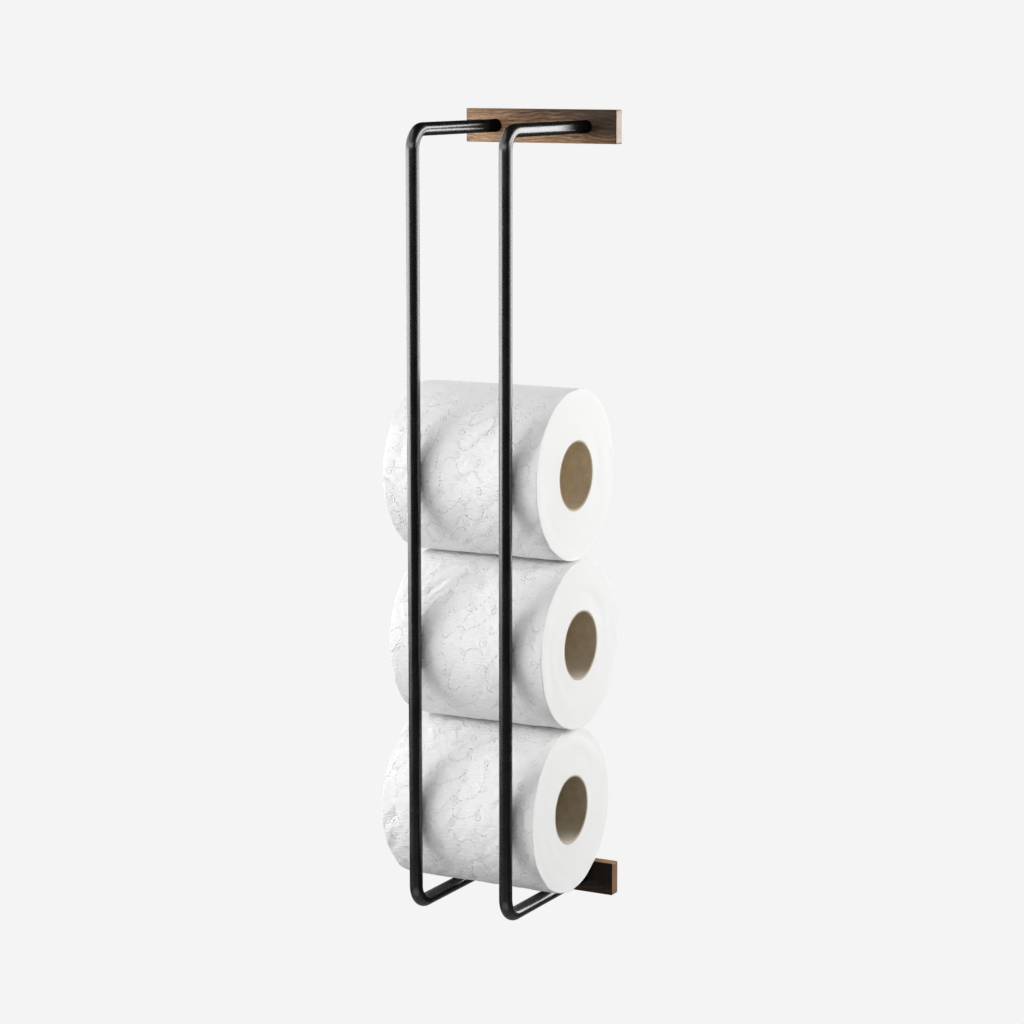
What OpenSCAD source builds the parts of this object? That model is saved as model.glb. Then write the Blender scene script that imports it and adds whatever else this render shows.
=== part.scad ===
// Wall rack for toilet paper: two bent steel rods between two wooden bars, holding a stack of rolls.
// The wall is the plane y = 0, the front is towards -Y, and z = 0 is midway between the two bars.

/* [Overall] */
// Height over the outside of the rods
overall_h = 477.5; // [440:0.5:600]
// Depth from the wall to the front of the rods
overall_d = 114.5; // [112:0.5:140]

/* [Rods] */
// Diameter of the round steel rod
rod_d = 8; // [7:0.5:9]
// Distance between the two rods, centre to centre
rod_spacing = 62; // [58:1:74]
// Bend radius on the rod's centre line
bend_r = 12; // [10:1:20]

/* [Bars] */
// Length of each wooden bar
bar_w = 103.5; // [100:0.5:140]
// Height of each wooden bar
bar_h = 20.5; // [20:0.5:30]
// Thickness of each wooden bar
bar_t = 8; // [7.5:0.5:12]
// Chamfer along every edge of a bar
bar_chamfer = 0.4; // [0.2:0.1:1]

/* [Keyhole plates] */
// Width of a keyhole plate
plate_w = 34; // [30:1:38]
// Height of a keyhole plate
plate_h = 16; // [15.5:0.1:17]
// Thickness of a keyhole plate
plate_t = 1.5; // [1.2:0.1:2]
// Diameter of the round hole that takes a wall screw's head
keyhole_d = 7.8; // [7:0.1:8]
// Width of the slot above it, which the wall screw's shank rises into
keyhole_slot = 4.2; // [3.5:0.1:4.5]

/* [Rolls] */
// Diameter of a full roll
roll_d = 103.2; // [80:0.1:104]
// Width of a roll
roll_w = 104.4; // [90:0.1:110]
// Inside diameter of a roll's cardboard core
core_d = 43.2; // [38:0.1:48]
// Wall of the cardboard core
core_wall = 0.9; // [0.6:0.1:1.5]
// How far each roll lies off the middle: bottom, middle, top
roll_offset = [-5.5, 0.5, -3]; // [-8:0.5:8]

/* [Hidden] */
$fn = 96;

// Directions that the left and right, and the bottom and top, parts lie in
LEFT = -1;
RIGHT = 1;
BOTTOM = -1;
TOP = 1;

rod_r = rod_d / 2;
rod_x = rod_spacing / 2;
rod_depth = overall_d - rod_r;        // wall to the axis of the upright
bar_z = overall_h / 2 - rod_r;        // height of the rods' level arms, which is the bars' middle
cut = 1;                              // how far a cutter runs past the face it opens

// Rod ends: each sits in a shallow socket in the bar and is drilled for a screw
socket_depth = 2;
socket_clearance = 0.05;
end_chamfer = 0.5;
rod_end_y = -(bar_t - socket_depth);
thread_r = 2.03;
thread_depth = 12;
drill_tip = 1.2;

// Countersunk machine screw that holds a rod end, driven from the back of the bar
screw_r = 1.98;
screw_head_r = 3.8;
screw_length = 15.8;
screw_tip = 0.8;                      // length of the tapered tip
screw_inset = 0.1;                    // head below the bar's back face
screw_hole_r = 2.2;
hex_across_flats = 2.5;
hex_depth = 1.1;

// Countersunk wood screw, two to a keyhole plate
plate_screw_x = 12.5;
plate_screw_r = 1.1;
plate_screw_head_r = 2.2;
plate_screw_length = 5.6;
plate_screw_tip = 1.6;
plate_hole_r = 1.3;
pilot_r = 1.15;
pilot_depth = 5.8;
cross_w = 0.7;
cross_l = 2.6;
cross_depth = 0.7;

// Every screw head has a short cylinder round its edge, and every screw a blunt point
head_rim = 0.15;
point_ratio = 0.45;                   // the point's radius over the shank's

// Pockets in the back of a bar
plate_corner = 3;
plate_clearance = 0.15;
keyhole_rise = 4;                     // how far the bar drops on its wall screw
entry_room_r = 4.2;                   // behind the round hole
head_room_r = 3.8;                    // behind the top of the slot
head_room_depth = 3.2;

// Rolls lie loose on the level arms, just clear of each other and of the uprights
roll_gap = 0.3;
roll_edge = 1.2;                      // soft edge round each end of a roll
core_clearance = 0.05;
roll_y = -(rod_depth - rod_r - roll_gap - roll_d / 2);

function roll_z(i) = -bar_z + rod_r + roll_gap + roll_d / 2 + i * (roll_d + roll_gap);

// Lays a solid built along +Z so that it runs along +Y instead
module along_y() rotate([-90, 0, 0]) children();

// Lays a solid built along +Z so that it runs along +X instead
module along_x() rotate([0, 90, 0]) children();

// Turns a solid of revolution's flat quarter from the XY plane into the YZ plane
module in_side_plane() rotate([90, 0, 90]) children();

// Rectangle with its corners rounded, made of true arcs
module rounded_rect(w, h, r) {
    square([w - 2 * r, h], center = true);
    square([w, h - 2 * r], center = true);
    for (x = [-1, 1], y = [-1, 1])
        translate([x * (w / 2 - r), y * (h / 2 - r)]) circle(r);
}

// Rectangle with its corners cut at 45 degrees
module chamfered_rect(w, h, c) {
    polygon([
        [-w / 2 + c, -h / 2], [w / 2 - c, -h / 2], [w / 2, -h / 2 + c], [w / 2, h / 2 - c],
        [w / 2 - c, h / 2], [-w / 2 + c, h / 2], [-w / 2, h / 2 - c], [-w / 2, -h / 2 + c]
    ]);
}

// Block of w by d by h, centred, with all twelve edges chamfered
module chamfered_block(w, d, h, c) {
    intersection() {
        linear_extrude(h, center = true) chamfered_rect(w, d, c);
        rotate([90, 0, 0]) linear_extrude(d, center = true) chamfered_rect(w, h, c);
        rotate([90, 0, 90]) linear_extrude(w, center = true) chamfered_rect(d, h, c);
    }
}

// One quarter bend of the rod, from angle a0 round the bend's centre
module rod_bend(a0) {
    in_side_plane()
        rotate([0, 0, a0])
            rotate_extrude(angle = 90) translate([bend_r, 0]) circle(rod_r);
}

// Level arm from the bend to the bar, with its end chamfered and drilled
module rod_arm() {
    arm_start = -rod_depth + bend_r;
    arm_length = rod_end_y - arm_start;
    translate([0, arm_start, 0]) along_y() difference() {
        union() {
            cylinder(r = rod_r, h = arm_length - end_chamfer);
            translate([0, 0, arm_length - end_chamfer])
                cylinder(r1 = rod_r, r2 = rod_r - end_chamfer, h = end_chamfer);
        }
        translate([0, 0, arm_length - thread_depth]) cylinder(r = thread_r, h = thread_depth + cut);
        translate([0, 0, arm_length - thread_depth - drill_tip])
            cylinder(r1 = 0, r2 = thread_r, h = drill_tip);
    }
}

// Bent steel rod: arm, bend, upright, bend, arm
module rod(side) {
    color([0.035, 0.035, 0.04]) translate([side * rod_x, 0, 0]) {
        for (end = [BOTTOM, TOP]) {
            translate([0, 0, end * bar_z]) rod_arm();
            translate([0, -rod_depth + bend_r, end * (bar_z - bend_r)])
                rod_bend(end == TOP ? 90 : 180);
        }
        translate([0, -rod_depth, -bar_z + bend_r]) cylinder(r = rod_r, h = 2 * (bar_z - bend_r));
    }
}

// Seat for a countersunk head, cut down from z = 0, with the head's top at z = -inset
module countersink(shank_r, head_r, inset) {
    seat = inset + head_rim;
    translate([0, 0, -seat]) cylinder(r = head_r, h = seat + cut);
    translate([0, 0, -seat - head_r + shank_r]) cylinder(r1 = shank_r, r2 = head_r, h = head_r - shank_r);
}

// Room in the bar for one rod end and its screw
module rod_socket() {
    translate([0, -bar_t - cut, 0]) along_y()
        cylinder(r = rod_r + socket_clearance, h = socket_depth + cut);
    translate([0, -bar_t, 0]) along_y() cylinder(r = screw_hole_r, h = bar_t + cut);
    along_y() countersink(screw_r, screw_head_r, screw_inset);
}

// Outline of the pocket that lets a wall screw's head slide up behind the plate
module head_room() {
    circle(entry_room_r);
    translate([0, keyhole_rise]) circle(head_room_r);
    translate([-head_room_r, 0]) square([2 * head_room_r, keyhole_rise]);
}

// Recess for the keyhole plate, with the head room and the pilot holes behind it
module plate_pocket() {
    translate([0, cut, 0]) rotate([90, 0, 0])
        linear_extrude(plate_t + cut)
            rounded_rect(plate_w + 2 * plate_clearance, plate_h + 2 * plate_clearance, plate_corner);
    rotate([90, 0, 0]) linear_extrude(plate_t + head_room_depth) head_room();
    for (side = [LEFT, RIGHT])
        translate([side * plate_screw_x, -pilot_depth, 0]) along_y()
            cylinder(r = pilot_r, h = pilot_depth);
}

// Wooden bar: its back lies on the wall
module bar(end) {
    color([0.43, 0.31, 0.22]) translate([0, 0, end * bar_z]) difference() {
        translate([0, -bar_t / 2, 0]) chamfered_block(bar_w, bar_t, bar_h, bar_chamfer);
        for (side = [LEFT, RIGHT]) translate([side * rod_x, 0, 0]) rod_socket();
        plate_pocket();
    }
}

// Steel keyhole plate let into the back of a bar
module keyhole_plate(end) {
    color([0.72, 0.73, 0.75]) translate([0, 0, end * bar_z]) difference() {
        rotate([90, 0, 0]) linear_extrude(plate_t) difference() {
            rounded_rect(plate_w, plate_h, plate_corner);
            circle(keyhole_d / 2);
            translate([0, keyhole_rise]) circle(keyhole_slot / 2);
            translate([-keyhole_slot / 2, 0]) square([keyhole_slot, keyhole_rise]);
        }
        for (side = [LEFT, RIGHT]) translate([side * plate_screw_x, 0, 0]) {
            translate([0, -plate_t - cut, 0]) along_y() cylinder(r = plate_hole_r, h = plate_t + 2 * cut);
            along_y() countersink(plate_screw_r, plate_screw_head_r, 0);
        }
    }
}

// Countersunk screw built along +Z, its head's flat top at z = 0 and its tip below
module countersunk(shank_r, head_r, length, tip) {
    rotate_extrude() polygon([
        [0, 0], [head_r, 0], [head_r, -head_rim], [shank_r, -head_rim - head_r + shank_r],
        [shank_r, -length + tip], [shank_r * point_ratio, -length], [0, -length]
    ]);
}

// Machine screw through a bar into a rod end, with a hex socket
module rod_screw(side, end) {
    color([0.16, 0.16, 0.17]) translate([side * rod_x, -screw_inset, end * bar_z])
        along_y() difference() {
            countersunk(screw_r, screw_head_r, screw_length, screw_tip);
            translate([0, 0, -hex_depth])
                cylinder(r = hex_across_flats / 2 / cos(30), h = hex_depth + cut, $fn = 6);
        }
}

// Small wood screw that holds a keyhole plate, with a cross recess
module plate_screw(side, end) {
    color([0.75, 0.74, 0.70]) translate([side * plate_screw_x, 0, end * bar_z])
        along_y() difference() {
            countersunk(plate_screw_r, plate_screw_head_r, plate_screw_length, plate_screw_tip);
            for (turn = [0, 90]) rotate([0, 0, turn])
                translate([0, 0, -cross_depth / 2 + cut / 2])
                    cube([cross_l, cross_w, cross_depth + cut], center = true);
        }
}

// Half section of a roll's paper: a rectangle from radius r_in with its two outer corners rounded
module paper_section(r_in, r_out, w, edge) {
    translate([r_in, -w / 2]) square([r_out - edge - r_in, w]);
    translate([r_in, -w / 2 + edge]) square([r_out - r_in, w - 2 * edge]);
    for (end = [-1, 1]) translate([r_out - edge, end * (w / 2 - edge)]) circle(edge);
}

// Places a roll's part, built round +Z, in the stack
module in_stack(i) translate([roll_offset[i], roll_y, roll_z(i)]) along_x() children();

// Wound paper of roll i, counted from the bottom
module roll_paper(i) {
    core_r = core_d / 2 + core_wall + core_clearance;
    color([0.94, 0.94, 0.93]) in_stack(i)
        rotate_extrude() paper_section(core_r, roll_d / 2, roll_w, roll_edge);
}

// Cardboard core of roll i
module roll_core(i) {
    color([0.50, 0.44, 0.36]) in_stack(i)
        rotate_extrude() translate([core_d / 2, -roll_w / 2]) square([core_wall, roll_w]);
}

rod(LEFT);  // rod_left
rod(RIGHT);  // rod_right
bar(TOP);  // bar_top
bar(BOTTOM);  // bar_bottom
keyhole_plate(TOP);  // keyhole_plate_top
keyhole_plate(BOTTOM);  // keyhole_plate_bottom
rod_screw(LEFT, TOP);  // rod_screw_top_left
rod_screw(RIGHT, TOP);  // rod_screw_top_right
rod_screw(LEFT, BOTTOM);  // rod_screw_bottom_left
rod_screw(RIGHT, BOTTOM);  // rod_screw_bottom_right
plate_screw(LEFT, TOP);  // plate_screw_top_left
plate_screw(RIGHT, TOP);  // plate_screw_top_right
plate_screw(LEFT, BOTTOM);  // plate_screw_bottom_left
plate_screw(RIGHT, BOTTOM);  // plate_screw_bottom_right
roll_paper(0);  // roll_paper_bottom
roll_paper(1);  // roll_paper_middle
roll_paper(2);  // roll_paper_top
roll_core(0);  // roll_core_bottom
roll_core(1);  // roll_core_middle
roll_core(2);  // roll_core_top
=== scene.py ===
"""Looks for a wall rack that holds toilet rolls: two bent rods, two wooden bars and three loose rolls."""

import math

import bpy
import numpy as np
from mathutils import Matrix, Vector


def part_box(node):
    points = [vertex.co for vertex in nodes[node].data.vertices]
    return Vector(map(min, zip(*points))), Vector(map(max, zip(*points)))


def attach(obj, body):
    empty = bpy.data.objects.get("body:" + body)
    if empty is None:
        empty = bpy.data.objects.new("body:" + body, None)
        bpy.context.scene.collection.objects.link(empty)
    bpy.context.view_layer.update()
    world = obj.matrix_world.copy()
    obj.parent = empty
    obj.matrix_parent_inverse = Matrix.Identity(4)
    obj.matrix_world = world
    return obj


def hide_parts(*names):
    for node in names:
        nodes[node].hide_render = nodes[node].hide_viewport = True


MM = 0.001
ROLLS = ("bottom", "middle", "top")
BEND_R = 12.0  # bend radius on the rods' centre line, mm
BORE_R = 22.55  # bore of the wound paper, mm
CORE_WALL = 0.9  # board thickness of a core, mm
CORE_SAG, CORE_SQUEEZE = 1.1, 0.4  # how far a soft core is pressed in, up and down and front to back, mm
CELLS_ROUND, CELLS_ACROSS, DOTS = 21, 7, 6  # tiles of the embossed pattern, and dots on each quarter arc
SLANT = 0.7  # how far the tiles lean, in tiles round per tile across
DOT_R, DOT_DEPTH = 0.74, 0.48  # embossed dots, mm
CURL_R, CURL_PITCH = 3.1, 2.1  # small embossed curls: reach and distance from turn to turn, mm
CURL_LINE, CURL_DEPTH = 0.60, 0.28  # half width and depth of a curl's groove, mm
ARCS_LEFT_OUT = 0.30  # share of the quarter arcs that are missing, so that the curves have ends
FLAT_BULGE, FLAT_REACH = 0.11, 0.2  # strips where rolls touch: height in mm, and half width over the radius
SCREW_R, SCREW_HOLE = 2.03, 12.0  # drilled hole in a rod's end: radius and depth of its straight part, mm
DRILL_TIP = 1.2  # depth of the hole's conical end, mm
BACKDROP = (0.905, 0.905, 0.905)  # tone that the camera sees on the floor and behind the object
LIGHT_FROM = 1.5  # usual distance of a softbox from the object's axis, m
AXIS_Y = -0.055  # where the middle of the object lies, front to back, m
FLOOR_Z = -1.1  # height of the floor, m

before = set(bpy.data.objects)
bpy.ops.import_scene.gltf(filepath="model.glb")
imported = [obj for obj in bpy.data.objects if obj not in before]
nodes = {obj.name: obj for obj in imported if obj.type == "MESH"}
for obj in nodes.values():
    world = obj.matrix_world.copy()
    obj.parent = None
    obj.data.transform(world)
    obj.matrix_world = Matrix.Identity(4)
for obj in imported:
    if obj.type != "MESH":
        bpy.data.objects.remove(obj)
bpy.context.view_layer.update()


# ---------------------------------------------------------------- shader helpers


class Shader:
    """One material, with short calls for adding and joining nodes."""

    def __init__(self, name, colour, roughness, specular=0.5):
        self.mat = bpy.data.materials.new(name)
        self.mat.use_nodes = True
        self.tree = self.mat.node_tree
        self.tree.nodes.clear()
        self.out = self.tree.nodes.new("ShaderNodeOutputMaterial")
        self.bsdf = self.tree.nodes.new("ShaderNodeBsdfPrincipled")
        self.link(self.bsdf.outputs[0], self.out.inputs["Surface"])
        self.set("Base Color", (*colour, 1))
        self.set("Roughness", roughness)
        self.set("Specular IOR Level", specular)
        self.mat.diffuse_color = (*colour, 1)

    def link(self, a, b):
        self.tree.links.new(a, b)

    def set(self, socket, value):
        """Gives a socket of the surface shader a plain value or another node's output."""
        self.feed(self.bsdf.inputs[socket], value)

    def feed(self, socket, value):
        if isinstance(value, bpy.types.NodeSocket):
            self.link(value, socket)
        else:
            socket.default_value = value

    def coords(self, scale=(1, 1, 1), shift=(0, 0, 0), turn=(0, 0, 0), of=None):
        """Object coordinates, or the vector given as of, scaled, shifted and turned."""
        if of is None:
            of = self.tree.nodes.new("ShaderNodeTexCoord").outputs["Object"]
        m = self.tree.nodes.new("ShaderNodeMapping")
        self.link(of, m.inputs["Vector"])
        m.inputs["Scale"].default_value = scale
        m.inputs["Location"].default_value = shift
        m.inputs["Rotation"].default_value = turn
        return m.outputs[0]

    def noise(self, vector, scale, detail=3.0, rough=0.5, distort=0.0):
        n = self.tree.nodes.new("ShaderNodeTexNoise")
        self.link(vector, n.inputs["Vector"])
        settings = {"Scale": scale, "Detail": detail, "Roughness": rough, "Distortion": distort}
        for key, value in settings.items():
            n.inputs[key].default_value = value
        return n.outputs[0]

    def math(self, op, a, b=0.0):
        n = self.tree.nodes.new("ShaderNodeMath")
        n.operation = op
        self.feed(n.inputs[0], a)
        self.feed(n.inputs[1], b)
        return n.outputs[0]

    def length(self, x, y, z):
        """Length of the vector with these parts."""
        n = self.tree.nodes.new("ShaderNodeVectorMath")
        n.operation = "LENGTH"
        self.link(self.join(x, y, z), n.inputs[0])
        return n.outputs["Value"]

    def split(self, vector):
        n = self.tree.nodes.new("ShaderNodeSeparateXYZ")
        self.link(vector, n.inputs[0])
        return n.outputs

    def join(self, x, y, z):
        n = self.tree.nodes.new("ShaderNodeCombineXYZ")
        for socket, value in zip(n.inputs, (x, y, z)):
            self.feed(socket, value)
        return n.outputs[0]

    def span(self, value, a, b, c=0.0, d=1.0, smooth=False):
        """Maps value from a..b to c..d, clamped."""
        n = self.tree.nodes.new("ShaderNodeMapRange")
        n.interpolation_type = "SMOOTHSTEP" if smooth else "LINEAR"
        self.feed(n.inputs[0], value)
        for i, v in enumerate((a, b, c, d), 1):
            n.inputs[i].default_value = v
        return n.outputs[0]

    def ramp(self, value, stops):
        """Colour ramp; stops are (position, (r, g, b))."""
        n = self.tree.nodes.new("ShaderNodeValToRGB")
        self.link(value, n.inputs[0])
        e = n.color_ramp.elements
        while len(e) < len(stops):
            e.new(0.5)
        for item, (pos, colour) in zip(e, stops):
            item.position = pos
            item.color = (*colour, 1)
        return n.outputs[0]

    def mix(self, factor, a, b):
        """Blends two colours, each a plain one or another node's output."""
        n = self.tree.nodes.new("ShaderNodeMix")
        n.data_type = "RGBA"
        self.feed(n.inputs[0], factor)
        self.feed(n.inputs[6], a if isinstance(a, bpy.types.NodeSocket) else (*a, 1))
        self.feed(n.inputs[7], b if isinstance(b, bpy.types.NodeSocket) else (*b, 1))
        return n.outputs[2]

    def bump(self, height, strength, distance, over=None):
        n = self.tree.nodes.new("ShaderNodeBump")
        n.inputs["Strength"].default_value = strength
        n.inputs["Distance"].default_value = distance
        self.link(height, n.inputs["Height"])
        if over is not None:
            self.link(over, n.inputs["Normal"])
        self.link(n.outputs[0], self.bsdf.inputs["Normal"])
        return n.outputs[0]


# ---------------------------------------------------------------- materials


def powder_coat():
    """Satin black powder coat: fine orange peel, a little uneven in gloss, and its reflection faded out
    towards the bars as painted shade.
    """
    gloss, painted_shade_from, painted_shade_to = 0.85, -0.056, -0.020  # painted shade: the gloss fades out between these two depths, in metres, darkening the arms near the bars
    s = Shader("black_powder_coat", (0.006, 0.006, 0.0065), 0.2, gloss)
    at = s.coords()
    fine = s.noise(at, 1500, 2.0, 0.55)
    broad = s.noise(at, 55, 3.0, 0.5)
    uneven = s.math("ADD", s.math("MULTIPLY", fine, 0.5), broad)
    s.set("Roughness", s.span(uneven, 0.5, 1.0, 0.24, 0.30))
    s.set("Base Color", s.ramp(broad, [(0.3, (0.003, 0.003, 0.0034)), (0.7, (0.006, 0.006, 0.0066))]))
    y = s.split(at)[1]
    # painted shade: no reflection close to the bars, where they shade the arms
    s.set("Specular IOR Level", s.span(y, painted_shade_from, painted_shade_to, gloss, 0.0, smooth=True))
    s.bump(fine, 0.06, 0.00004)
    return s.mat


def wood(name, seed, low, high, front_painted_shade, cut):
    """Smoked oak with its grain along X: wavering rings, fibres, open pores, paler sawn ends that are partly
    painted sheen, dark arrises.

    low and high are the corners of the bar, in metres. front_painted_shade is how much painted shade darkens
    its front from the lower left to the upper right, where the arms and rolls shade it, and cut tints the
    sawn ends.
    """
    half_length = high[0]
    pith_y, rings_per_metre, taper = 0.030, 430, 0.035  # pith behind the bar, and how it runs out of true
    s = Shader(name, (0.20, 0.11, 0.05), 0.4, 0.25)
    x, y, z = s.split(s.coords())
    drift = s.noise(s.coords((16, 30, 30), (seed, 0, 0)), 1.0, 2.0, 0.5)
    wander = s.noise(s.coords((55, 150, 150), (0, seed, 0)), 1.0, 3.0, 0.55)
    lift = s.math("ADD", s.math("MULTIPLY", drift, 0.020), s.math("MULTIPLY", wander, 0.0022))
    z2 = s.math("ADD", z, lift)
    flow = s.join(x, y, z2)
    from_pith = s.length(0.0, s.math("ADD", y, -pith_y), z2)
    from_pith = s.math("ADD", from_pith, s.math("MULTIPLY", x, taper))
    late = s.span(s.math("FRACT", s.math("MULTIPLY", from_pith, rings_per_metre)), 0.25, 1.0)
    fibre = s.noise(s.coords((60, 1500, 1500), (seed, 0, 0), of=flow), 1.0, 4.0, 0.65)
    streak = s.noise(s.coords((18, 380, 380), (0, 0, seed), of=flow), 1.0, 3.0, 0.6)
    patch = s.noise(s.coords((16, 60, 60), (0, 0, seed)), 1.0, 3.0, 0.5)
    dots = s.noise(s.coords((230, 2300, 2300), (seed, seed, 0), of=flow), 1.0, 1.0, 0.4)
    pore = s.span(dots, 0.58, 0.68)
    tone = s.math("ADD", s.math("MULTIPLY", late, 0.07), s.math("MULTIPLY", fibre, 0.36))
    tone = s.math("ADD", tone, s.math("MULTIPLY", streak, 0.20))
    tone = s.math("ADD", tone, s.math("MULTIPLY", patch, 0.22))
    # painted shade: the front darkens from the lower left to the upper right, where the arms, and on the
    # bottom bar the rolls, shade it
    on_front = s.span(y, low[1] + 0.0006, low[1] + 0.0002)
    above = s.math("SUBTRACT", z, (low[2] + high[2]) / 2)
    across = s.math("ADD", s.math("MULTIPLY", x, 1.2), s.math("MULTIPLY", above, 3.0))
    front_shade_ramp = s.span(across, -0.6 * half_length, 1.4 * half_length, *front_painted_shade)
    shade = s.math("MULTIPLY", front_shade_ramp, on_front)
    colour = s.ramp(s.math("ADD", tone, shade), [
        (0.30, (0.660, 0.435, 0.265)),
        (0.40, (0.500, 0.305, 0.168)),
        (0.50, (0.300, 0.168, 0.080)),
        (0.62, (0.070, 0.033, 0.013)),
        (0.76, (0.010, 0.0045, 0.002)),
    ])
    colour = s.mix(s.math("MULTIPLY", pore, 0.7), colour, (0.020, 0.010, 0.004))
    along = s.math("ABSOLUTE", x)
    end = s.span(along, half_length - 0.00015, half_length - 0.00005)
    arris = s.span(along, half_length - 0.0009, half_length - 0.0003)
    speck = s.noise(s.coords((300, 1500, 1500), (seed, 0, 0)), 1.0, 3.0, 0.6)
    # painted light: the sawn ends are paler, partly as painted sheen; cut makes them pale on the top bar and
    # darker, as painted shade, on the bottom one
    pale = tuple(a * b for a, b in zip((0.50, 0.375, 0.30), cut))
    deep = tuple(a * b for a, b in zip((0.35, 0.235, 0.165), cut))
    sawn_tone = s.math("ADD", s.math("MULTIPLY", speck, 0.5), s.math("MULTIPLY", patch, 0.5))
    sawn = s.ramp(sawn_tone, [(0.36, pale), (0.64, deep)])
    colour = s.mix(s.math("MULTIPLY", arris, 0.7), colour, (0.016, 0.008, 0.004))
    s.set("Base Color", s.mix(end, colour, sawn))
    dry = s.math("ADD", fibre, s.math("MULTIPLY", pore, 0.4))
    s.set("Roughness", s.span(dry, 0.3, 1.0, 0.34, 0.55))
    grain = s.math("SUBTRACT", s.math("MULTIPLY", fibre, 0.45), pore)
    s.bump(grain, 0.35, 0.00015)
    return s.mat


def steel(name, colour, roughness, scratch):
    """Plain steel with fine scratches and a slightly uneven finish."""
    s = Shader(name, colour, roughness)
    s.bsdf.inputs["Metallic"].default_value = 1.0
    lines = s.noise(s.coords((4000, 600, 160)), 1.0, 2.0, 0.6)
    cloud = s.noise(s.coords(), 260, 3.0, 0.5)
    uneven = s.math("ADD", s.math("MULTIPLY", lines, 0.6), cloud)
    s.set("Roughness", s.span(uneven, 0.5, 1.2, roughness - 0.08, roughness + 0.1))
    dull = tuple(c * 0.72 for c in colour)
    s.set("Base Color", s.mix(s.span(cloud, 0.35, 0.7), colour, dull))
    s.bump(lines, scratch, 0.00005)
    return s.mat


def dotted_curves(s, width, round_length, start):
    """Height of the embossed pattern: rows of dimples along wandering curves, and a curl in each tile.

    The outside of the roll is laid out in square tiles. Each has two quarter arcs, across opposite corners.
    They meet the arcs of the next tiles, so the rows of dots join up into long curves. u counts the tiles
    round the roll and v the tiles across it. width and round_length are in mm.
    """
    bend_u, bend_v = 0.16, 0.17  # how far the rows of tiles bend to and fro, in tiles
    cell = round_length / CELLS_ROUND
    x, y, z = s.split(s.coords())
    turn = s.math("FRACT", s.math("DIVIDE", s.math("ARCTAN2", z, s.math("MULTIPLY", y, -1)), 2 * math.pi))
    turn = s.math("FRACT", s.math("ADD", turn, start))
    u = s.math("MULTIPLY", turn, CELLS_ROUND)
    v = s.math("MULTIPLY", s.math("ADD", s.math("DIVIDE", x, width * MM), 0.5), CELLS_ACROSS)

    def sway(waves, lean):
        along = s.math("MULTIPLY", turn, 2 * math.pi * waves)
        return s.math("SINE", s.math("ADD", along, s.math("MULTIPLY", v, lean)))

    u2 = s.math("ADD", u, s.math("MULTIPLY", sway(3, 2.6), bend_u))
    v2 = s.math("ADD", v, s.math("MULTIPLY", sway(5, 1.3), bend_v))
    u2 = s.math("SUBTRACT", u2, s.math("MULTIPLY", v2, SLANT))
    column = s.math("FLOOR", v2)
    row = s.math("FLOORED_MODULO", s.math("FLOOR", u2), CELLS_ROUND)
    # toss and pick are fixed dice for each tile: which way its arcs go, and which of them are left out
    toss = s.math("SINE", s.math("ADD", s.math("MULTIPLY", row, 1.7), s.math("MULTIPLY", column, 2.9)))
    flip = s.math("GREATER_THAN", s.math("FRACT", s.math("MULTIPLY", toss, 10)), 0.5)
    a, b = s.math("FRACT", u2), s.math("SUBTRACT", v2, column)
    curls = curl(s, a, b, row, column, cell)
    a = s.math("ABSOLUTE", s.math("SUBTRACT", a, flip))
    far = s.math("GREATER_THAN", s.math("ADD", a, b), 1.0)
    a = s.math("ABSOLUTE", s.math("SUBTRACT", a, far))
    b = s.math("ABSOLUTE", s.math("SUBTRACT", b, far))
    pick = s.math("ADD", s.math("MULTIPLY", row, 2.3), s.math("MULTIPLY", column, 1.1))
    pick = s.math("SINE", s.math("ADD", pick, far))
    shown = s.math("GREATER_THAN", s.math("FRACT", s.math("MULTIPLY", pick, 10)), ARCS_LEFT_OUT)
    off = s.math("MULTIPLY", s.math("SUBTRACT", s.length(a, b, 0.0), 0.5), cell)
    step = s.math("MULTIPLY", s.math("ARCTAN2", b, a), DOTS / (math.pi / 2))
    pitch = cell * 0.5 * math.pi / 2 / DOTS
    along = s.math("MULTIPLY", s.math("SUBTRACT", s.math("FRACT", step), 0.5), pitch)
    dot = s.span(s.length(off, along, 0.0), 0.0, DOT_R, -DOT_DEPTH, 0.0, smooth=True)
    return s.math("ADD", s.math("MULTIPLY", dot, shown), curls)


def curl(s, a, b, row, column, cell):
    """Height of one small spiral groove in the middle of each tile, turned differently from tile to tile."""
    p = s.math("MULTIPLY", s.math("SUBTRACT", a, 0.5), cell)
    q = s.math("MULTIPLY", s.math("SUBTRACT", b, 0.5), cell)
    lean = s.math("ADD", s.math("MULTIPLY", row, 0.37), s.math("MULTIPLY", column, 0.61))
    p = s.math("ADD", p, s.math("MULTIPLY", q, SLANT))
    far = s.length(p, q, 0.0)
    angle = s.math("DIVIDE", s.math("ARCTAN2", q, p), 2 * math.pi)
    wind = s.math("FRACT", s.math("ADD", s.math("SUBTRACT", s.math("DIVIDE", far, CURL_PITCH), angle), lean))
    off = s.math("MULTIPLY", s.math("ABSOLUTE", s.math("SUBTRACT", wind, 0.5)), CURL_PITCH)
    line = s.span(off, 0.0, CURL_LINE, -CURL_DEPTH, 0.0, smooth=True)
    return s.math("MULTIPLY", line, s.span(far, CURL_R - 0.5, CURL_R, 1.0, 0.0, smooth=True))


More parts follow.
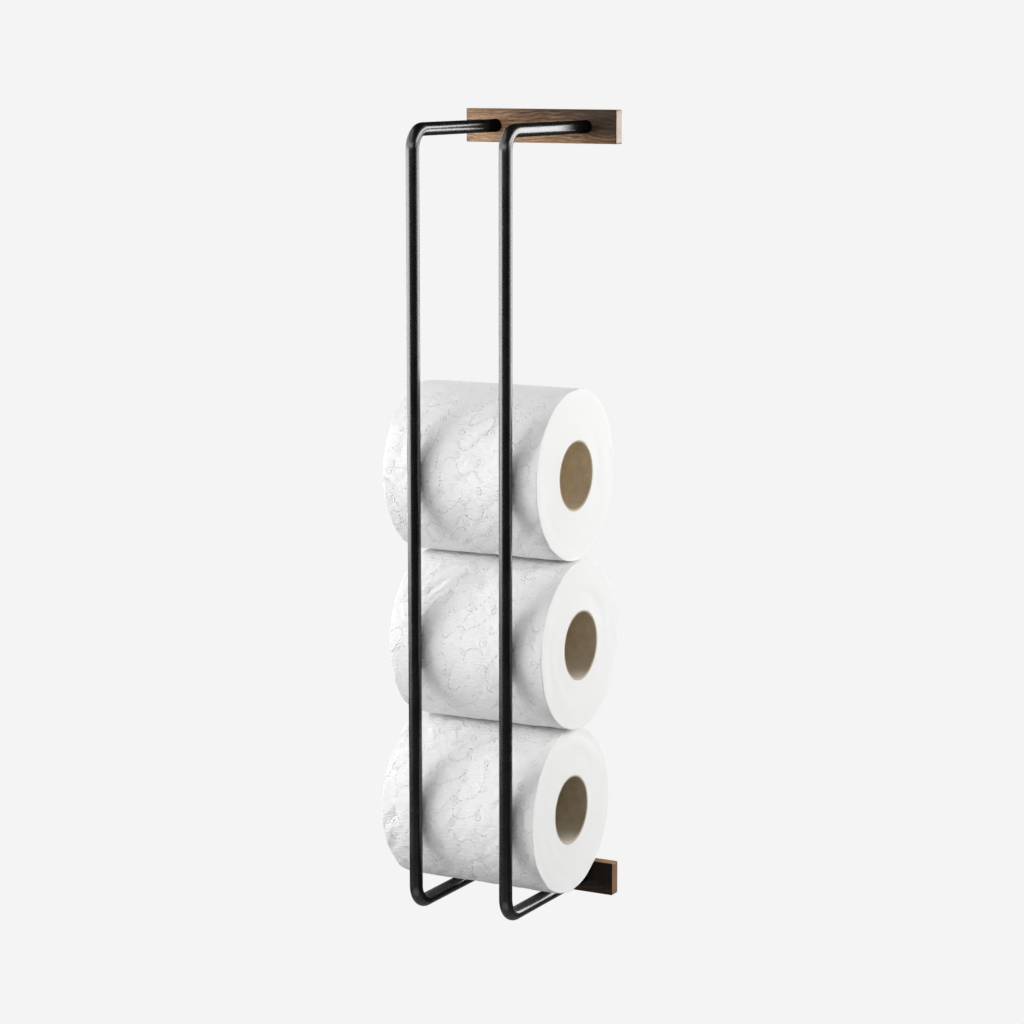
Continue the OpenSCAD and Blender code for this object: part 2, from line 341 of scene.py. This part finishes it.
def tissue_outside(name, width, round_length, start):
    """Soft white tissue: embossed pattern, wrinkles, fine creping and fibres.

    width and round_length are the roll's, in mm, and start turns the pattern, in turns of the roll.
    """
    s = Shader(name, (0.88, 0.88, 0.875), 0.92, 0.2)
    s.bsdf.inputs["Sheen Weight"].default_value = 0.15
    s.bsdf.inputs["Sheen Roughness"].default_value = 0.6
    fibre = s.noise(s.coords(), 2600, 3.0, 0.65)
    cloud = s.noise(s.coords(), 90, 3.0, 0.5)
    crepe = s.noise(s.coords((300, 1700, 1700), turn=(0, 0, 0.5)), 1.0, 2.0, 0.6)
    wrinkle = s.noise(s.coords((240, 700, 700), turn=(0, 0.6, 0.4)), 1.0, 3.0, 0.6, 0.3)
    s.set("Base Color", s.mix(s.span(cloud, 0.3, 0.7), (0.875, 0.875, 0.87), (0.90, 0.90, 0.897)))
    rough = s.bump(dotted_curves(s, width, round_length, start), 1.0, MM)
    rough = s.bump(wrinkle, 0.6, 0.0011, rough)
    rough = s.bump(crepe, 0.7, 0.0006, rough)
    s.bump(fibre, 0.4, 0.00018, rough)
    return s.mat


def tissue_end():
    """The cut end of a roll: many thin wound layers and a little fluff, in a tone a little darker than the
    outside as painted shade.
    """
    # painted shade: a tenth darker than the same paper's outside, to tone down the brightly lit ends
    s = Shader("tissue_end", (0.79, 0.79, 0.782), 0.92, 0.2)
    s.bsdf.inputs["Sheen Weight"].default_value = 0.15
    s.bsdf.inputs["Sheen Roughness"].default_value = 0.6
    fibre = s.noise(s.coords(), 2600, 3.0, 0.65)
    _, y, z = s.split(s.coords())
    radius = s.length(0.0, y, z)
    swirl = s.math("MULTIPLY", s.noise(s.coords(), 60, 2.0, 0.5), 0.0006)
    at = s.math("MULTIPLY", s.math("ADD", radius, swirl), 2600)
    layer = s.noise(s.join(at, 0.0, 0.0), 1.0, 3.0, 0.7)
    s.set("Base Color", s.mix(s.span(layer, 0.3, 0.75), (0.775, 0.777, 0.766), (0.805, 0.807, 0.798)))
    s.bump(fibre, 0.18, 0.00010, s.bump(layer, 0.22, 0.00012))
    return s.mat


def cardboard(name, bright, painted_light_patch=0.0):
    """Grey-brown core board with flecks and fibres.

    painted_light_patch is how much painted light lies inside its right-hand end, at the bottom, where light
    from above reaches in.
    """
    s = Shader(name, (0.56, 0.48, 0.36), 0.85, 0.25)
    fibre = s.noise(s.coords(), 1700, 3.0, 0.6)
    cloud = s.noise(s.coords(), 160, 3.0, 0.5)
    fleck = s.span(s.noise(s.coords((900, 2400, 2400)), 1.0, 1.0, 0.4), 0.66, 0.74)
    # painted light and shade: bright makes the same board lighter or darker, lighter in the higher rolls'
    # cores
    low, high, dark = (tuple(c * bright for c in colour) for colour in (
        (0.42, 0.35, 0.245), (0.54, 0.46, 0.335), (0.25, 0.195, 0.125)))
    tone = s.math("ADD", s.math("MULTIPLY", fibre, 0.5), s.math("MULTIPLY", cloud, 0.5))
    board = s.mix(s.math("MULTIPLY", fleck, 0.7), s.ramp(tone, [(0.35, low), (0.65, high)]), dark)
    x, _, z = s.split(s.coords())  # in metres from the middle of the core
    # painted light: a paler patch at the bottom of the core's right-hand end, where light from above reaches
    # in
    near_end = s.span(x, 0.034, 0.050, smooth=True)
    at_bottom = s.span(z, -0.0160, -0.0208, smooth=True)
    painted_light_mask = s.math("MULTIPLY", s.math("MULTIPLY", near_end, at_bottom), painted_light_patch)
    s.set("Base Color", s.mix(painted_light_mask, board, (0.80, 0.76, 0.68)))
    s.bump(fibre, 0.5, 0.0002)
    return s.mat


def paint(node, mat):
    """Gives a CAD node one material."""
    o = nodes[node]
    if not o.material_slots:
        o.data.materials.append(mat)
    for item in o.material_slots:
        item.material = mat


# ---------------------------------------------------------------- mesh helpers


def solid(name, verts, faces, slot, mats, centre):
    """Smooth mesh object from arrays, set at centre. slot is each face's material number, or one for all."""
    mesh = bpy.data.meshes.new(name)
    mesh.vertices.add(len(verts))
    mesh.vertices.foreach_set("co", verts.astype(np.float32).ravel())
    mesh.loops.add(faces.size)
    mesh.loops.foreach_set("vertex_index", faces.astype(np.int32).ravel())
    mesh.polygons.add(len(faces))
    mesh.polygons.foreach_set("loop_start", (np.arange(len(faces)) * faces.shape[1]).astype(np.int32))
    for mat in mats:
        mesh.materials.append(mat)
    mesh.polygons.foreach_set("material_index", np.broadcast_to(slot, len(faces)).astype(np.int32))
    mesh.update(calc_edges=True)
    mesh.validate()
    mesh.polygons.foreach_set("use_smooth", np.ones(len(mesh.polygons), bool))
    o = bpy.data.objects.new(name, mesh)
    bpy.context.scene.collection.objects.link(o)
    o.location = centre
    return o


def around_x(x, r, theta):
    """Points at radius r round the X axis, in metres. theta runs from the front over the top, row by row."""
    cos, sin = np.cos(theta)[:, None], np.sin(theta)[:, None]
    return np.stack([np.broadcast_to(x, r.shape), -r * cos, r * sin], -1).reshape(-1, 3) * MM


def ring_quads(n_turn, n_path):
    """Corners of the quads of a ring-shaped surface: n_turn rows of n_path points, closed both ways."""
    i = np.arange(n_turn)[:, None]
    j = np.arange(n_path)[None, :]
    next_i, next_j = (i + 1) % n_turn, (j + 1) % n_path
    corners = [i * n_path + j, i * n_path + next_j, next_i * n_path + next_j, next_i * n_path + j]
    return np.stack(corners, -1).reshape(-1, 4)


def smooth_field(rng, shape, steps, lengths, turn=0.0):
    """Random field, periodic both ways, with unit spread. lengths are its feature sizes along and across."""
    grain = rng.standard_normal(shape)
    ks = np.fft.fftfreq(shape[0], steps[0])[:, None]
    kx = np.fft.fftfreq(shape[1], steps[1])[None, :]
    ka = ks * math.cos(turn) + kx * math.sin(turn)
    kb = -ks * math.sin(turn) + kx * math.cos(turn)
    keep = np.exp(-2 * ((ka * lengths[0]) ** 2 + (kb * lengths[1]) ** 2))
    f = np.fft.ifft2(np.fft.fft2(grain) * keep).real
    return (f - f.mean()) / f.std()


# ---------------------------------------------------------------- paper


def arc(centre, radius, a0, a1, step):
    """Points along an arc, about step apart."""
    n = max(2, int(abs(a1 - a0) * radius / step))
    a = np.linspace(a0, a1, n)
    return np.stack([centre[0] + radius * np.cos(a), centre[1] + radius * np.sin(a)], 1)


def curl_sprig(rng):
    """A bent stroke with three short arcs beside it, as rows of points in mm about the stroke's middle."""
    bend = rng.uniform(14, 30)
    lines = [arc((-bend, 0), bend, -7 / bend, 7 / bend, 0.3)]
    for k in range(3):
        c = (rng.uniform(2.5, 4.5) * (1 if k % 2 else -1), 4.0 * k - 4.0)
        lines.append(arc(c, 3.2, 0.4 + k, 1.7 + k, 0.3))
    turn, flip = rng.uniform(-1.2, 0.4), rng.choice([-1, 1])
    c, s = math.cos(turn), math.sin(turn)
    return [p * np.array([flip, 1.0]) @ np.array([[c, s], [-s, c]]) for p in lines]


def stamp(height, steps, points, width, depth):
    """Presses a round dimple into a height field at each point, in mm. Rows wrap round, columns don't."""
    ns, nx = height.shape
    reach_s, reach_x = int(3 * width / steps[0]) + 1, int(3 * width / steps[1]) + 1
    for s, x in points:
        i0, j0 = int(round(s / steps[0])), int(round(x / steps[1]))
        rows = np.arange(i0 - reach_s, i0 + reach_s + 1)
        cols = np.arange(max(0, j0 - reach_x), min(nx, j0 + reach_x + 1))
        if len(cols) == 0:
            continue
        d2 = ((rows * steps[0] - s) ** 2)[:, None] + ((cols * steps[1] - x) ** 2)[None, :]
        window = np.ix_(rows % ns, cols)
        height[window] = np.minimum(height[window], -depth * np.exp(-d2 / (2 * width * width)))


def embossing(rng, shape, steps, round_length, width):
    """Height of the shallow pressed strokes over the unrolled outside of a roll, in mm.

    The fine dots and curls of the pattern are in the material.
    """
    grooves, hollows = np.zeros(shape), np.zeros(shape)
    rows, columns = 13, 5
    for i in range(rows):
        for j in range(columns):
            middle = ((i + 0.5 * (j % 2)) * round_length / rows, (j + 0.5) * width / columns)
            at = middle + rng.uniform(-5, 5, 2)
            for p in curl_sprig(rng):
                stamp(grooves, steps, p + at, width=0.75, depth=0.09)
                stamp(hollows, steps, p[::6] + at, width=1.8, depth=0.12)
    return grooves + hollows


def squash(theta):
    """How far a soft core, and the paper round it, is pressed in at each angle, in mm."""
    return CORE_SAG * np.sin(theta) ** 2 + CORE_SQUEEZE * np.cos(theta) ** 2


def soft_limit(height, top, over):
    """Height with everything above top squeezed into the band top..top + over."""
    above = np.maximum(height - top, 0)
    return np.minimum(height, top) + over * np.tanh(above / over)


def skin_relief(rng, shape, steps, round_length, width):
    """Relief of the unrolled outside, in mm: pressed strokes, folds two ways, puffs and broad unevenness."""
    press = embossing(rng, shape, steps, round_length, width)
    folds = smooth_field(rng, shape, steps, (20, 4.5), 0.70)
    cross_folds = smooth_field(rng, shape, steps, (14, 3.0), -0.45)
    where = np.clip(smooth_field(rng, shape, steps, (16, 16)) * 0.6 + 0.45, 0, 1)
    puff = smooth_field(rng, shape, steps, (7, 5))
    broad = smooth_field(rng, shape, steps, (30, 24))
    height = press + 0.15 * folds * where + 0.08 * cross_folds * (1 - where)
    return soft_limit(height + 0.04 * puff + 0.12 * broad + 0.02, 0.0, 0.14)


def roll_section(radius, width, n_across):
    """Section of the paper: from its left bore edge over the left end, the outside, the right end and back.

    Gives the points, as x and radius in mm. For each it also gives the column of the outside's relief that it
    takes, how much of that relief it carries, and whether it lies on the outside.
    """
    edge = 0.4  # how round the rims are, mm
    corner = np.linspace(0, math.pi / 2, 7)[1:-1]
    rings = np.insert(np.linspace(0, 1, 23) ** 0.85, 1, 0.006)  # one more close to the bore keeps its edge
    face_r = BORE_R + (radius - edge - BORE_R) * rings
    left = [(-width / 2, r) for r in face_r]
    left += [(-width / 2 + edge - edge * math.cos(a), radius - edge + edge * math.sin(a)) for a in corner]
    right = [(-x, r) for x, r in reversed(left)]
    across = np.linspace(-width / 2 + edge, width / 2 - edge, n_across)
    inner = [(x * (width / 2 - 0.2), BORE_R) for x in (1, 0.5, 0, -0.5, -1)]
    path = np.array(left + [(x, radius) for x in across] + right + inner)
    point, first, after = np.arange(len(path)), len(left), len(left) + n_across
    column = np.clip(point - first, 0, n_across - 1)
    fade = np.linspace(0, 1, len(corner) + 2)[1:-1]
    share = np.zeros(len(path))
    share[first:after] = 1
    share[first - len(corner):first] = fade
    share[after:after + len(corner)] = fade[::-1]
    on_outside = (point >= first - 3) & (point < after + 2)
    return path, column, share, on_outside


def worn_ends(rng, path, radius, width, n_turn, step):
    """How the ends differ from flat discs, in mm: rims are pressed in, and faces are pushed along X."""
    shoulder, run_in = 14.0, 6.0  # how far the rims' wear reaches down the face and along the outside, mm
    x, r = path.T
    rim, push = np.zeros((n_turn, len(path))), np.zeros((n_turn, len(path)))
    for side in (-1, 1):
        wave = smooth_field(rng, (n_turn, 1), (step, 1.0), (14, 1))[:, 0]
        flats = np.clip(np.abs(smooth_field(rng, (n_turn, 1), (step, 1.0), (20, 1))[:, 0]) - 0.7, 0, 1.5)
        reach = np.exp(-np.clip(width / 2 - side * x, 0, None) / run_in)
        outer = np.clip((r - (radius - shoulder)) / shoulder, 0, 1)
        rim -= ((0.12 + 0.06 * wave) + 0.5 * flats)[:, None] * (reach * outer)[None, :]
    on_face = np.clip((r - BORE_R) / 8, 0, 1) * np.clip(1 - (width / 2 - np.abs(x)) / 3, 0, 1)
    for side in (-1, 1):
        sag = smooth_field(rng, (n_turn, 40), (step, 1.0), (45, 9))
        ring = np.clip((r - BORE_R).astype(int), 0, 39)
        push -= side * (0.16 + 0.10 * sag[:, ring]) * (on_face * (side * x > 0))[None, :]
    return rim, push


def paper_roll(name, node, seed, skin, end, swell):
    """Wound tissue: one closed tube with an embossed, creased outside and soft, slightly uneven ends.

    swell is how far, in mm, the loose outer turns stand out at the top and towards the wall.
    """
    low, high = (np.array(c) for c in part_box(node))
    radius = (high[2] - low[2]) / 2 / MM
    width = (high[0] - low[0]) / MM
    rng = np.random.default_rng(seed)
    round_length = 2 * math.pi * radius
    n_turn, n_across = 540, 120
    swell_at, swell_spread = math.radians(115), math.radians(42)  # from the front over the top
    steps = (round_length / n_turn, width / (n_across - 1))
    outside = skin_relief(rng, (n_turn, n_across), steps, round_length, width)
    path, column, share, on_outside = roll_section(radius, width, n_across)
    rim, push = worn_ends(rng, path, radius, width, n_turn, steps[0])

    theta = np.arange(n_turn) * 2 * math.pi / n_turn
    flat = np.exp(-(np.cos(theta) / FLAT_REACH) ** 2)[:, None]  # at the top and at the bottom
    relief = (outside[:, column] * (1 - 0.85 * flat) + FLAT_BULGE * flat) * share[None, :]
    lift = np.exp(-((theta - swell_at) / swell_spread) ** 2)[:, None]
    relief += swell * lift * np.clip((path[:, 1] - BORE_R) / (radius - BORE_R), 0, 1)[None, :] ** 2
    near_bore = np.clip((radius - path[:, 1]) / (radius - BORE_R), 0, 1) ** 2
    r = path[:, 1] + relief + rim - squash(theta)[:, None] * near_bore[None, :]

    faces = ring_quads(n_turn, len(path))[:, [0, 3, 2, 1]]
    slot = np.tile(np.where(on_outside, 0, 1), n_turn)
    o = solid(name, around_x(path[:, 0] + push, r, theta), faces, slot, (skin, end), (low + high) / 2)
    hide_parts(node)
    return o


# ---------------------------------------------------------------- rods and cores


def bent_rod(name, node, mat):
    """Round rod: arm, bend, upright, bend and arm, with chamfered ends that are drilled for their screws."""
    low, high = (np.array(c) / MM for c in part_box(node))
    radius = (high[0] - low[0]) / 2
    front, bottom, top, end = low[1] + radius, low[2] + radius, high[2] - radius, high[1]
    bend_y, beside, chamfer = front + BEND_R, 0.3, 0.5
    # rings of one arm: distance from its end and radius, from the bottom of the drilled hole to the bend
    arm = [(SCREW_HOLE, SCREW_R), (0.05, SCREW_R), (0, SCREW_R + 0.05), (0, radius - chamfer)]
    arm += [(chamfer - 0.05, radius - 0.03), (chamfer + 0.05, radius), (chamfer + 0.4, radius)]
    arm.append((end - bend_y - beside, radius))
    quarter = np.linspace(0, math.pi / 2, 41)

    def bend(centre_z, start):
        turns = quarter + start
        return [(bend_y - BEND_R * math.sin(a), centre_z - BEND_R * math.cos(a), a, radius) for a in turns]

    rings = [(end - d, bottom, 0.0, r) for d, r in arm] + bend(bottom + BEND_R, 0)
    rings += [(front, z, math.pi / 2, radius) for z in (bottom + BEND_R + beside, top - BEND_R - beside)]
    rings += bend(top - BEND_R, math.pi / 2) + [(end - d, top, math.pi, r) for d, r in reversed(arm)]
    n_turn, n_rings = 72, len(rings)
    y, z, heading, r = (np.array(v)[:, None] for v in zip(*rings))
    phi = np.arange(n_turn)[None, :] * 2 * math.pi / n_turn
    out = r * np.cos(phi)
    verts = np.stack([r * np.sin(phi), y - out * np.sin(heading), z - out * np.cos(heading)], -1)
    tips = [(0.0, end - SCREW_HOLE - DRILL_TIP, height) for height in (bottom, top)]
    verts = np.concatenate([verts.reshape(-1, 3), tips]) + [(low[0] + high[0]) / 2, 0, 0]
    k, i = np.arange(n_rings - 1)[:, None] * n_turn, np.arange(n_turn)[None, :]
    after = (i + 1) % n_turn
    a, b, c, d = (v.ravel() for v in (k + i, k + after, k + n_turn + after, k + n_turn + i))
    faces = [np.stack([a, b, c], 1), np.stack([a, c, d], 1)]
    i, after, last = i.ravel(), after.ravel(), (n_rings - 1) * n_turn
    first_tip = np.full(n_turn, n_rings * n_turn)
    faces += [np.stack([first_tip, after, i], 1), np.stack([first_tip + 1, last + i, last + after], 1)]
    o = solid(name, verts * MM, np.concatenate(faces), 0, (mat,), (0, 0, 0))
    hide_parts(node)
    return o


def core_tube(name, node, seed, mat, edge_mat):
    """Cardboard core: a thin tube wound from strips, with the spiral seam standing a little proud inside."""
    low, high = (np.array(c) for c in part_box(node))
    width = (high[0] - low[0]) / MM - 0.2
    outer = (high[2] - low[2]) / 2 / MM
    inner = outer - CORE_WALL
    rng = np.random.default_rng(seed)
    n_turn, n_inside = 144, 90
    seam_height, seam_fade = 0.16, 2.2  # the step where the strip overlaps, and how soon it is gone, mm
    lip, strip = 0.15, 78.0  # rounding of the cut edges, and length of one turn of the wound strip, mm
    theta = np.arange(n_turn) * 2 * math.pi / n_turn
    # section of the tube: x, radius, and 1 on the inside
    path = [(x, inner, 1.0) for x in np.linspace(-width / 2, width / 2, n_inside)]
    path += [(width / 2, inner + lip, 0), (width / 2, outer - lip, 0), (width / 2 - lip, outer, 0)]
    path += [(-width / 2 + lip, outer, 0), (-width / 2, outer - lip, 0), (-width / 2, inner + lip, 0)]
    x, radius, is_inside = np.array(path).T[:, None, :]
    phase = (theta[:, None] / (2 * math.pi) - x / strip + rng.uniform()) % 1.0
    seam = seam_height * np.exp(-(phase * 2 * math.pi * inner * 0.6) / seam_fade) * is_inside
    wave = smooth_field(rng, (n_turn, len(path)), (1.0, 1.0), (22, 22)) * 0.05 * is_inside
    r = radius - seam + wave - squash(theta)[:, None]
    slot = np.tile(np.where(np.arange(len(path)) >= n_inside - 1, 1, 0), n_turn)
    faces = ring_quads(n_turn, len(path))
    o = solid(name, around_x(x, r, theta), faces, slot, (mat, edge_mat), (low + high) / 2)
    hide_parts(node)
    return o


# ---------------------------------------------------------------- the object

coat = powder_coat()
screw_steel = steel("black_screw_steel", (0.06, 0.06, 0.062), 0.38, 0.3)
plate_steel = steel("plated_steel", (0.27, 0.27, 0.275), 0.50, 0.3)
for side in ("left", "right"):
    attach(bent_rod("steel_rod_" + side, "rod_" + side, coat), "rack")
for seed, end in enumerate(("top", "bottom")):
    bar_low, bar_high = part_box("bar_" + end)
    # the first pair is the front's painted shade; the second tints the sawn ends, pale as painted sheen on
    # the top bar, darker as painted shade on the bottom one
    front_painted_shade, cut = ((0.06, 0.29), (0.80, 0.79, 0.79)) if end == "top" else ((0.28, 0.38), (0.50, 0.39, 0.28))
    paint("bar_" + end, wood("smoked_oak_" + end, 0.13 + 0.41 * seed, bar_low, bar_high, front_painted_shade, cut))
    paint("keyhole_plate_" + end, plate_steel)
    for side in ("left", "right"):
        paint(f"rod_screw_{end}_{side}", screw_steel)
        paint(f"plate_screw_{end}_{side}", plate_steel)

paper_low, paper_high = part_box("roll_paper_top")
paper_w = (paper_high[0] - paper_low[0]) / MM
paper_round = (paper_high[2] - paper_low[2]) / MM * math.pi
end_mat = tissue_end()
edge_board = cardboard("core_edge", 1.05)
# from the bottom roll to the top one: loose outer turns in mm, the board's tone, which is painted light and
# shade, lighter higher up, and a painted pool of light in the core
swell = (0.0, 0.0, 1.0)
painted_core_light = (0.86, 1.04, 1.3)
painted_light_patch = (0.7, 0.7, 0.0)
for k, place in enumerate(ROLLS):
    skin_mat = tissue_outside("tissue_outside_" + place, paper_w, paper_round, 0.11 + 0.37 * k)
    paper = paper_roll("tissue_roll_" + place, "roll_paper_" + place, 11 + 7 * k, skin_mat, end_mat, swell[k])
    tube = core_tube("card_core_" + place, "roll_core_" + place, 5 + k,
                     cardboard("core_board_" + place, painted_core_light[k], painted_light_patch[k]), edge_board)
    for piece in (paper, tube):
        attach(piece, "roll_" + place)


# ---------------------------------------------------------------- camera, light and floor


def set_camera():
    """The photo's view: a long lens, to the right of the object and a little above its middle."""
    data = bpy.data.cameras.new("camera")
    data.lens = 100.72
    data.sensor_width = 36
    data.clip_start = 0.01
    data.clip_end = 100
    cam = bpy.data.objects.new("camera", data)
    cam.location = (0.8188, -1.5732, 0.2825)
    cam.rotation_euler = (math.radians(90 - 9.222), 0, math.radians(28.176))
    bpy.context.scene.collection.objects.link(cam)
    bpy.context.scene.camera = cam


def softbox(name, azimuth, z, size, radiance, distance=LIGHT_FROM, tilt=0.0):
    """Rectangular light facing the object's axis.

    azimuth is in degrees from straight in front, towards +X. tilt, in degrees, turns the light to face down.
    """
    data = bpy.data.lights.new(name, "AREA")
    data.shape = "RECTANGLE"
    data.size, data.size_y = size
    data.energy = radiance * math.pi * size[0] * size[1]
    o = bpy.data.objects.new(name, data)
    a = math.radians(azimuth)
    o.location = (distance * math.sin(a), -distance * math.cos(a) + AXIS_Y, z)
    o.rotation_euler = (math.pi / 2 - math.radians(tilt), 0, a)
    o.visible_camera = False
    bpy.context.scene.collection.objects.link(o)
    return o


def studio_world():
    """Dim room, darker behind the object. A camera ray sees the plain pale tone instead."""
    front_tone, wall_tone = 0.06, 0.015
    world = bpy.data.worlds.new("studio")
    bpy.context.scene.world = world
    world.use_nodes = True
    t = world.node_tree
    t.nodes.clear()
    out = t.nodes.new("ShaderNodeOutputWorld")
    seen, lit = t.nodes.new("ShaderNodeBackground"), t.nodes.new("ShaderNodeBackground")
    seen.inputs[0].default_value = (*BACKDROP, 1)
    mixer, path = t.nodes.new("ShaderNodeMixShader"), t.nodes.new("ShaderNodeLightPath")
    t.links.new(path.outputs["Is Camera Ray"], mixer.inputs[0])
    t.links.new(lit.outputs[0], mixer.inputs[1])
    t.links.new(seen.outputs[0], mixer.inputs[2])
    t.links.new(mixer.outputs[0], out.inputs[0])
    tex, split = t.nodes.new("ShaderNodeTexCoord"), t.nodes.new("ShaderNodeSeparateXYZ")
    t.links.new(tex.outputs["Generated"], split.inputs[0])
    ahead = t.nodes.new("ShaderNodeMapRange")
    ahead.interpolation_type = "SMOOTHSTEP"
    t.links.new(split.outputs[1], ahead.inputs[0])
    for i, v in enumerate((-0.2, 0.3, front_tone, wall_tone), 1):
        ahead.inputs[i].default_value = v
    t.links.new(ahead.outputs[0], lit.inputs[1])


def floor():
    """Plain pale floor, well below the object, which hangs at its height on a wall."""
    n, half = 12, 30.0  # squares along a side, and half the side in metres
    grid = np.linspace(-half, half, n + 1)
    gx, gy = np.meshgrid(grid, grid, indexing="ij")
    verts = np.stack([gx.ravel(), gy.ravel(), np.full(gx.size, FLOOR_Z)], 1)
    i, j = np.meshgrid(np.arange(n), np.arange(n), indexing="ij")
    a = (i * (n + 1) + j).ravel()
    faces = np.stack([a, a + n + 1, a + n + 2, a + 1], 1)
    mat = bpy.data.materials.new("studio_floor")
    mat.use_nodes = True
    t = mat.node_tree
    t.nodes.clear()
    out, mixer = t.nodes.new("ShaderNodeOutputMaterial"), t.nodes.new("ShaderNodeMixShader")
    glow, dull = t.nodes.new("ShaderNodeEmission"), t.nodes.new("ShaderNodeBsdfDiffuse")
    path = t.nodes.new("ShaderNodeLightPath")
    glow.inputs[0].default_value = (*BACKDROP, 1)
    dull.inputs[0].default_value = (0.3, 0.3, 0.3, 1)
    t.links.new(path.outputs["Is Camera Ray"], mixer.inputs[0])
    t.links.new(dull.outputs[0], mixer.inputs[1])
    t.links.new(glow.outputs[0], mixer.inputs[2])
    t.links.new(mixer.outputs[0], out.inputs[0])
    o = solid("studio_floor", verts, faces, 0, (mat,), (0, 0, 0))


set_camera()
softbox("key_front", -55, 0.04, (1.4, 0.66), 6.7)
softbox("key_side", -100, 0.04, (1.5, 0.66), 3.3)
softbox("key_high", -40, 0.72, (2.1, 0.45), 3.0)
softbox("key_high_side", -105, 0.72, (1.4, 0.45), 2.2)
softbox("front_high", 10, 0.72, (1.4, 0.45), 3.1)
softbox("front_low", 15, -0.95, (1.8, 0.8), 0.68, 0.8, -50)
softbox("rear_right", 125, 0.15, (1.1, 0.7), 3.6)
softbox("rear_strip", 153, 0.20, (0.52, 1.1), 7.0)
softbox("high_right", 115, 0.72, (1.5, 0.45), 9.2)
softbox("overhead", -50, 1.23, (2.0, 1.2), 1.2, 1.03, 50)
studio_world()
floor()
view = bpy.context.scene.view_settings
view.view_transform = "Standard"
view.look = "None"
